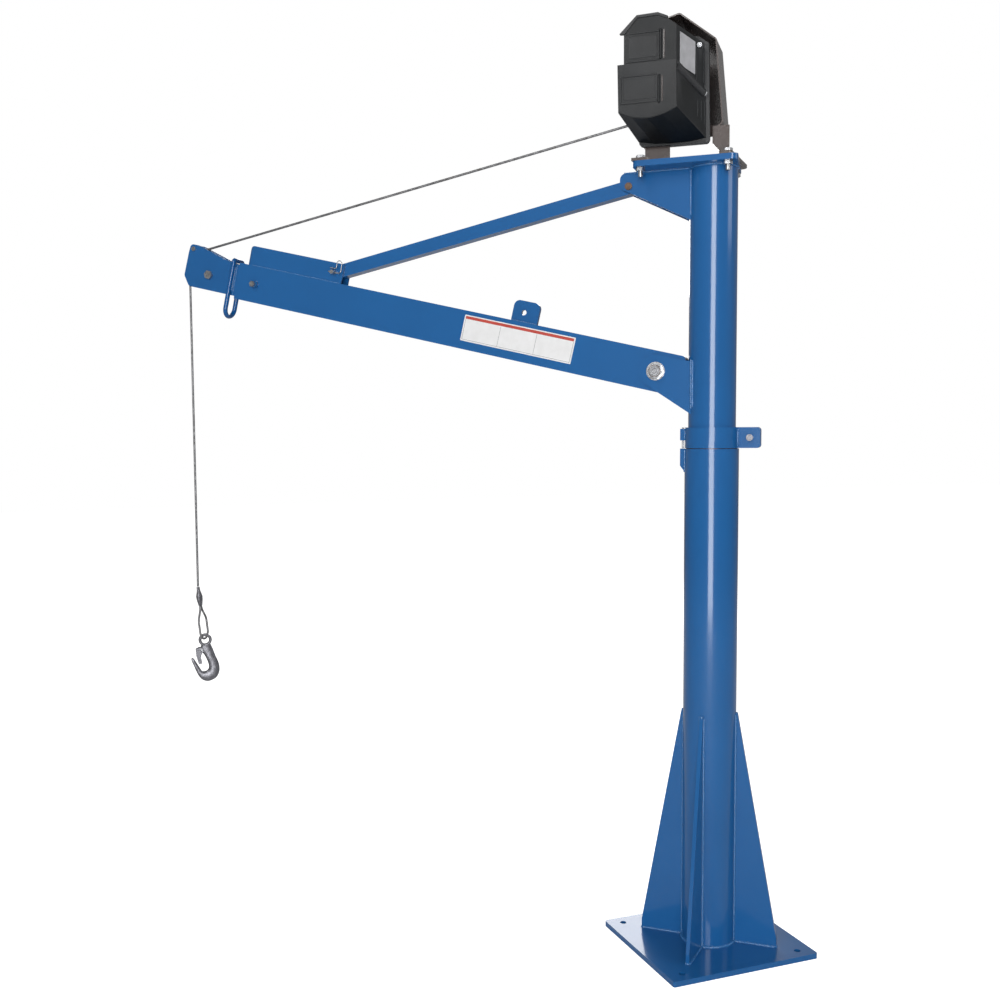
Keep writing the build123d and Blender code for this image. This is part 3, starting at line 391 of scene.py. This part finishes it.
def rings(samples, shape, sides):
    """a tube's vertices and faces; shape(i, distance, angle) gives the radius"""
    verts, faces = [], []
    normal = None
    count = len(samples)
    for i, (point, gone) in enumerate(samples):
        ahead = samples[min(i + 1, count - 1)][0] - samples[max(i - 1, 0)][0]
        ahead.normalize()
        if normal is None:
            normal = ahead.orthogonal().normalized()
        normal = (normal - ahead * normal.dot(ahead)).normalized()
        side = ahead.cross(normal)
        for k in range(sides):
            angle = 2 * math.pi * k / sides
            r = shape(i, gone, angle)
            verts.append(point + (normal * math.cos(angle) + side * math.sin(angle)) * r)
    for i in range(count - 1):
        for k in range(sides):
            a = i * sides + k
            b = i * sides + (k + 1) % sides
            faces.append((a, b, b + sides, a + sides))
    for start in (0, (count - 1) * sides):
        loop = tuple(range(start, start + sides))
        faces.append(loop if start else loop[::-1])
    return verts, faces


def weld(name, points, radius, body, pitch=2.6):
    """a run of weld metal: overlapping ripples of slightly uneven size"""
    radius *= MM
    pitch *= MM
    samples = resample(points, pitch / 4)
    sizes = [RNG.uniform(0.88, 1.1) for _ in range(int(samples[-1][1] / pitch) + 2)]

    def shape(i, gone, angle):
        part = gone / pitch
        phase = part - int(part)
        swell = math.sqrt(max(0.0, 1 - (1.6 * phase - 0.8) ** 2))
        ends = min(1.0, (i + 1) / 3, (len(samples) - i) / 3)
        return radius * sizes[int(part)] * (0.62 + 0.42 * swell) * ends

    verts, faces = rings(samples, shape, 9)
    return make_object(name, verts, faces, WELD, body)


def smooth_rows(rows, steps):
    """rows of numbers filled in with a curve through them"""
    out = []
    last = len(rows) - 1
    for i in range(last):
        before, one, two, after = (rows[max(0, min(last, i + k))] for k in (-1, 0, 1, 2))
        for k in range(steps):
            u = k / steps
            row = []
            for a, b, c, d in zip(before, one, two, after):
                bend = (2 * a - 5 * b + 4 * c - d) * u * u + (3 * b - a - 3 * c + d) * u**3
                row.append(0.5 * (2 * b + (c - a) * u + bend))
            out.append(row)
    out.append(list(rows[-1]))
    return out


def bead(name, points, radius, mat, body):
    """a smooth round rib with domed ends"""
    radius *= MM
    samples = resample(points, 0.6 * MM)
    total = samples[-1][1]

    def shape(i, gone, angle):
        short = min(gone, total - gone)
        return radius * math.sqrt(max(0.02, 1 - (1 - min(1.0, short / radius)) ** 2))

    verts, faces = rings(samples, shape, 14)
    return make_object(name, verts, faces, mat, body)


def panel(name, outline, low, high, mat, body, soften=0.6, place=at):
    """a shallow raised shape: outline across, thickness towards the near side, softened edges"""
    count = len(outline)
    verts = [place(a, n, b) for n in (low, high) for a, b in outline]
    faces = [tuple(range(count)), tuple(range(count, 2 * count))[::-1]]
    for k in range(count):
        k2 = (k + 1) % count
        faces.append((k, k + count, k2 + count, k2))
    obj = make_object(name, verts, faces, mat, body)
    work = bmesh.new()
    work.from_mesh(obj.data)
    bmesh.ops.recalc_face_normals(work, faces=work.faces)
    work.to_mesh(obj.data)
    work.free()
    soft = obj.modifiers.new("edges", "BEVEL")
    soft.width = soften * MM
    soft.segments = 3
    soft.limit_method = "ANGLE"
    soft.harden_normals = True
    return obj


def rect(a0, a1, b0, b1):
    """outline of a rectangle between two distances each way"""
    return [(a0, b0), (a1, b0), (a1, b1), (a0, b1)]


def beside(a, n, h):
    """as at, but along and across the boom"""
    return on_boom(a, h, n)


def circle(middle, radius, steps):
    """closed line facing the near side"""
    turns = [2 * math.pi * i / steps for i in range(steps + 1)]
    return [middle + (U * math.cos(turn) + Z * math.sin(turn)) * radius * MM for turn in turns]


def arc(radius, low, high, z, steps=48):
    return [polar(radius, low + (high - low) * i / steps, z) for i in range(steps + 1)]


# ------------------------------------------------------------------ the rope
ROPE_R = 2.75 * MM


def route_points(points):
    """the smooth line that a rope follows, read from its own spline"""
    curve = bpy.data.curves.new("route", "CURVE")
    curve.dimensions = "3D"
    curve.resolution_u = 40
    spline = curve.splines.new("NURBS")
    spline.points.add(len(points) - 1)
    for place, point in zip(spline.points, points):
        place.co = (*point, 1)
    spline.order_u = 3
    spline.use_endpoint_u = True
    holder = bpy.data.objects.new("route", curve)
    bpy.context.scene.collection.objects.link(holder)
    bpy.context.view_layer.update()
    line = bpy.data.meshes.new_from_object(holder)
    found = [v.co.copy() for v in line.vertices]
    bpy.data.objects.remove(holder)
    bpy.data.meshes.remove(line)
    return found


def strand_shape(lay_length):
    """six strands twisted round the rope"""
    def shape(i, gone, angle):
        twist = 6 * (angle - 2 * math.pi * gone / lay_length)
        lobe = abs(math.cos(twist / 2))
        return ROPE_R * (0.80 + 0.20 * lobe**0.55)
    return shape


def rope_z(s):
    """height of the sloping run"""
    return ROPE_CORNER_Z + (ROPE_DROP_S - s) * ROPE_SLOPE


def make_rope():
    """one taut rope from the drum over the sheave to the ferrule"""
    corner = at(ROPE_DROP_S, 0, ROPE_CORNER_Z)
    before = at(ROPE_DROP_S - 48.6, 0, rope_z(ROPE_DROP_S - 48.6))
    after = at(ROPE_DROP_S, 0, ROPE_CORNER_Z - 49.5)
    start = at(97, 0, rope_z(97))
    end = at(ROPE_DROP_S, 0, FERRULE_TOP_Z)
    line = route_points([start, before, corner, after, end])
    samples = resample(line, 0.0022)
    verts, faces = rings(samples, strand_shape(0.034), 36)
    rope = make_object("rope_strands", verts, faces, WIRE, None)
    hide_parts("wire_rope")
    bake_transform(rope)


make_rope()


# ------------------------------------------------------------------ welds
TUBE_R = 58.4
MAST_R = 50.8


def on_mast(n, z, out=0.4):
    """a point on the boom side of the mast's surface"""
    return at(math.sqrt(MAST_R**2 - n * n) + out, n, z)


def gusset_welds():
    """fillets round the pedestal's foot and along both sides of each gusset"""
    weld("weld_pedestal_foot", arc(TUBE_R, 0, 360, 13.0, 120), 3.6, "pedestal")
    for k, angle in enumerate((42, 138, 222, 318)):
        across = Vector((-math.sin(math.radians(angle)), math.cos(math.radians(angle)), 0))
        for side in (-1, 1):
            turned = angle + side * math.degrees(math.asin(4.6 / TUBE_R))
            line = [polar(TUBE_R, turned, 14), polar(TUBE_R, turned, 522)]
            weld(f"weld_gusset_up_{k}_{side}", line, 2.6, "pedestal")
            shift = across * side * 4.6 * MM
            line = [polar(60, angle, 12.6) + shift, polar(149, angle, 12.6) + shift]
            weld(f"weld_gusset_foot_{k}_{side}", line, 2.6, "pedestal")
        tip = polar(150, angle, 12.6)
        weld(f"weld_gusset_toe_{k}", [tip - across * 5 * MM, tip + across * 5 * MM], 2.4, "pedestal")
        cap = polar(TUBE_R + 1, angle, 524)
        weld(f"weld_gusset_cap_{k}", [cap - across * 5 * MM, cap + across * 5 * MM], 2.8, "pedestal")


def boom_welds():
    """fillets of the brackets, lugs, guard, head cheeks and anchor loop, on both sides"""
    for side, word in ((1, "near"), (-1, "far")):
        for row, n in enumerate((30, 35)):
            line = [on_mast(side * n, 1187 + row * 4), on_mast(side * n, 1296 - row * 3)]
            weld(f"weld_bracket_{word}_{row}", line, 3.0, "mast", 4.2)
        line = [on_mast(side * 24, 1599), on_mast(side * 24, 1697)]
        weld(f"weld_strut_bracket_{word}", line, 2.3, "mast")
        line = [at(48, side * 24, 1698.2), at(190, side * 24, 1698.2)]
        weld(f"weld_strut_bracket_top_{word}", line, 1.8, "mast")
        line = [on_boom(294, 44.6, side * 5.4), on_boom(357, 44.6, side * 5.4)]
        weld(f"weld_top_lug_{word}", line, 2.2, "mast")
        line = [on_boom(791, 44.6, side * 20.3), on_boom(1036, 44.6, side * 20.3)]
        weld(f"weld_guard_{word}", line, 1.6, "mast")
        line = [on_boom(1078, -37, side * 15.0), on_boom(1078, 37, side * 15.0)]
        weld(f"weld_cheek_{word}", line, 1.5, "extension")
        for end in (-1, 1):
            line = [on_boom(1087 + end * 4.6, -30, side * 15.6), on_boom(1087 + end * 4.6, 32, side * 15.6)]
            weld(f"weld_anchor_loop_{word}_{end}", line, 2.5, "extension", 4.4)
        line = [at(-57.0, side * 12.0, 1107), at(-57.0, side * 12.0, 1147)]
        weld(f"weld_collar_ear_{word}", line, 2.6, "mast", 4.4)
        line = [at(57.3, side * 11.6, 1052), at(57.3, side * 11.6, 1101)]
        weld(f"weld_pedestal_lug_{word}", line, 2.0, "pedestal")
        line = [at(56.9, side * 11.6, 1123), at(56.9, side * 11.6, 1145)]
        weld(f"weld_collar_lug_{word}", line, 2.0, "mast")
    weld("weld_mast_top", [at(0, 0, 0) + polar(MAST_R + 0.8, k * 3, 1698.4) for k in range(121)], 2.6, "mast")


gusset_welds()
boom_welds()


# ------------------------------------------------------------------ the forged hook and the rope eye
def make_hook():
    """an eye ring, and a shank that swells round the bowl and tapers to the point"""
    rows = [
        (-12.0, -152.0, 12.0, -152.0, 5.2),
        (-16.0, -165.0, 15.5, -163.0, 5.6),
        (-19.8, -182.0, 8.5, -175.0, 6.4),
        (-24.3, -197.0, 3.2, -188.0, 7.2),
        (-26.6, -211.0, -0.3, -204.0, 7.8),
        (-24.6, -227.0, 0.6, -213.0, 8.2),
        (-15.0, -241.0, 4.2, -217.6, 8.4),
        (3.0, -247.2, 9.4, -220.0, 8.2),
        (17.2, -243.2, 14.6, -219.4, 7.4),
        (26.4, -233.0, 19.2, -216.4, 6.6),
        (32.0, -219.0, 22.6, -209.0, 5.8),
        (36.6, -202.0, 27.8, -198.0, 5.0),
        (40.4, -189.0, 32.4, -187.0, 4.2),
        (40.6, -182.6, 35.0, -182.6, 3.4),
    ]
    rows = smooth_rows(rows, 6)
    sides = 28
    verts, faces = [], []
    last = rows[-1]
    for share, lift in ((0.8, 0.9), (0.45, 1.6), (0.08, 1.9)):
        middle = ((last[0] + last[2]) / 2, (last[1] + last[3]) / 2 + lift)
        half = (last[0] - last[2]) / 2 * share
        rows.append((middle[0] + half, middle[1], middle[0] - half, middle[1], last[4] * share))
    for x0, z0, x1, z1, thick in rows:
        for k in range(sides):
            angle = 2 * math.pi * k / sides
            c, s = math.cos(angle), math.sin(angle)
            reach = math.copysign(abs(c) ** 0.85, c)
            deep = math.copysign(abs(s) ** 0.85, s) * thick
            x = (x0 + x1) / 2 + (x1 - x0) / 2 * reach
            z = (z0 + z1) / 2 + (z1 - z0) / 2 * reach
            verts.append(hang(x, deep, z))
    for i in range(len(rows) - 1):
        for k in range(sides):
            a, b = i * sides + k, i * sides + (k + 1) % sides
            faces.append((a, b, b + sides, a + sides))
    faces.append(tuple(range(sides))[::-1])
    faces.append(tuple(range((len(rows) - 1) * sides, len(rows) * sides)))
    around, tube = 56, 18
    base = len(verts)
    for i in range(around):
        turn = 2 * math.pi * i / around
        for k in range(tube):
            angle = 2 * math.pi * k / tube
            r = 13.0 + 3.8 * math.cos(angle)
            verts.append(hang(r * math.cos(turn), 5.0 * math.sin(angle), -EYE_DROP + r * math.sin(turn)))
    for i in range(around):
        for k in range(tube):
            a, b = base + i * tube + k, base + i * tube + (k + 1) % tube
            c, d = base + (i + 1) % around * tube + (k + 1) % tube, base + (i + 1) % around * tube + k
            faces.append((a, b, c, d))
    hook = make_object("hook_forging", verts, faces, GALV, None)
    work = bmesh.new()
    work.from_mesh(hook.data)
    bmesh.ops.recalc_face_normals(work, faces=work.faces)
    work.to_mesh(hook.data)
    work.free()
    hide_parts("hook")
    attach(hook, "hook")


make_hook()


# ------------------------------------------------------------------ moulded detail of the winch cover
SCREW_PLACES = ((24.5, 52, 1943), (15.5, 37, 1847), (146, 34, 1943), (160, 40, 1815))


def cover_details():
    """ribs, sunk panels and edge beads of the plastic cover, with dark enamel bars painted as the shade in
    the grooves beside the ribs
    """
    for word, outline, low, high, mat, soften in (
        ("frame_low_top", rect(100, 177, 1871, 1874), 119.6, 121.6, PLASTIC, 0.6),
        ("frame_low_bottom", rect(100, 177, 1817, 1821), 119.6, 121.6, PLASTIC, 0.6),
        ("frame_low_side", rect(174, 177, 1821, 1871), 119.6, 121.6, PLASTIC, 0.6),
        ("panel_low", rect(104, 170, 1825, 1867), 119.6, 120.9, PLASTIC, 0.9),
        # painted shade: a dark enamel bar stands in for the shadowed groove beside the lower rib
        ("groove_shade_low", rect(88, 91, 1816, 1868), 119.6, 121.2, ENAMEL, 0.4),
        ("frame_up_top", rect(97, 167, 1959, 1962), 112.6, 114.4, PLASTIC, 0.6),
        ("frame_up_bottom", rect(97, 167, 1902, 1905), 112.6, 114.4, PLASTIC, 0.6),
        ("panel_up", rect(102, 162, 1910, 1954), 112.6, 113.8, PLASTIC, 0.9),
        # painted shade: a dark enamel bar stands in for the shadowed groove beside the upper rib
        ("groove_shade_up", rect(86, 89, 1905, 1962), 112.6, 114.0, ENAMEL, 0.4),
    ):
        panel("cover_" + word, outline, low, high, mat, "mast", soften)
    bead("cover_rib_low", [at(96, 120.2, 1814), at(96, 120.2, 1872)], 3.0, PLASTIC, "mast")
    bead("cover_rib_up", [at(94, 113.4, 1903), at(94, 113.4, 1966)], 2.8, PLASTIC, "mast")
    belly = smooth_rows([(59.5, 1803.5), (89, 1791.5), (121, 1786.5), (153, 1790.5), (180.5, 1801.5)], 10)
    bead("cover_belly_edge", [at(s, 119.4, z) for s, z in belly], 1.3, PLASTIC, "mast")
    bead("cover_front_corner", [at(59.6, 119.0, 1806), at(60.4, 119.0, 1896)], 1.2, PLASTIC, "mast")
    for k, n in enumerate((32.5, 43.5, 54.5)):
        s = 9.5 + (n - 20) * 0.51
        bead(f"cover_side_rib_{k}", [at(s, n, 1768 + 0.5 * n), at(s, n, 1832)], 2.0, PLASTIC, "mast")
        if k != 1:
            upper = 11.6 + (n - 20) * 50 / 93
            bead(f"cover_side_rib_up_{k}", [at(upper, n, 1868), at(upper, n, 1942)], 1.8, PLASTIC, "mast")
    for k, (s, n, z) in enumerate(SCREW_PLACES):
        bead(f"cover_screw_rim_{k}", circle(at(s, n + 0.3, z), 3.1, 24), 0.8, ZINC, "mast")


def placard_print():
    """plain band and ruled frame lines; no lettering"""
    face = 21.5
    a0, a1, h0, h1 = 193, 462, -25, 34.5
    band = rect(a0 + 3, a1 - 3, h1 - 9, h1 - 2.5)
    panel("placard_band", band, face, face + 0.25, BAND, "mast", 0.05, beside)
    for k, a in enumerate((a0 + 3, a0 + 90, a0 + 178, a1 - 3.8)):
        line = rect(a, a + 0.8, h0 + 3, h1 - 10)
        panel(f"placard_rule_{k}", line, face, face + 0.22, PRINT, "mast", 0.05, beside)
    line = rect(a0 + 3, a1 - 3, h0 + 3, h0 + 3.8)
    panel("placard_rule_foot", line, face, face + 0.22, PRINT, "mast", 0.05, beside)


def pivot_rings():
    """turned rings on the pivot bolt's head and its washer"""
    pivot = at(PIVOT_S, 0, PIVOT_Z)
    corners = [NODES["pivot_bolt"].matrix_world @ v.co for v in NODES["pivot_bolt"].data.vertices]
    face = max(N.dot(c) for c in corners) - 0.2 * MM
    for k, (r, mat) in enumerate(((5.0, GALV), (9.6, GALV), (12.4, PIN))):
        bead(f"pivot_head_ring_{k}", circle(pivot + N * face, r, 48), 0.7, mat, "mast")


cover_details()
placard_print()
pivot_rings()


# ------------------------------------------------------------------ floor and light
def make_stage():
    """pale floor and backdrop, one tall soft light for the tubes' highlight, and fills"""
    bpy.ops.mesh.primitive_plane_add(size=30, location=(0, 0, -0.0005))
    floor = bpy.context.object
    floor.name = "floor"
    mat, tree, shader = new_material("floor")
    shader.inputs["Base Color"].default_value = (0.60, 0.60, 0.60, 1)
    shader.inputs["Roughness"].default_value = 0.9
    shader.inputs["Emission Color"].default_value = (1, 1, 1, 1)
    seen = node(tree, "ShaderNodeLightPath")
    glow = node(tree, "ShaderNodeMath", operation="MULTIPLY")
    glow.inputs[1].default_value = 0.92
    tree.links.new(seen.outputs["Is Camera Ray"], glow.inputs[0])
    tree.links.new(glow.outputs[0], shader.inputs["Emission Strength"])
    floor.data.materials.append(mat)
    world = bpy.data.worlds.new("studio")
    bpy.context.scene.world = world
    world.use_nodes = True
    tree = world.node_tree
    soft = tree.nodes["Background"]
    soft.inputs["Color"].default_value = (1, 1, 1, 1)
    soft.inputs["Strength"].default_value = 0.22
    backdrop = tree.nodes.new("ShaderNodeBackground")
    backdrop.inputs["Color"].default_value = (1, 1, 1, 1)
    backdrop.inputs["Strength"].default_value = 1.0
    path = tree.nodes.new("ShaderNodeLightPath")
    choose = tree.nodes.new("ShaderNodeMixShader")
    tree.links.new(path.outputs["Is Camera Ray"], choose.inputs[0])
    tree.links.new(soft.outputs[0], choose.inputs[1])
    tree.links.new(backdrop.outputs[0], choose.inputs[2])
    tree.links.new(choose.outputs[0], tree.nodes["World Output"].inputs["Surface"])
    for name, place, aim_z, size, power in (
        ("strip", (-2.37, -3.83, 1.25), 1.25, (1.7, 3.4), 165),
        ("key", (-4.4, -2.6, 4.2), 1.0, (1.6, 1.6), 62),
        ("fill", (3.4, -2.8, 3.2), 1.1, (2.0, 2.0), 34),
        ("back", (1.6, 4.6, 3.4), 1.1, (3.0, 3.0), 130),
    ):
        data = bpy.data.lights.new(name, "AREA")
        data.shape = "RECTANGLE"
        data.size, data.size_y = size
        data.energy = power
        lamp = bpy.data.objects.new(name, data)
        lamp.location = place
        lamp.visible_camera = False
        aim = Vector((0, 0, aim_z)) - Vector(place)
        lamp.rotation_euler = aim.to_track_quat("-Z", "Y").to_euler()
        bpy.context.scene.collection.objects.link(lamp)


make_stage()
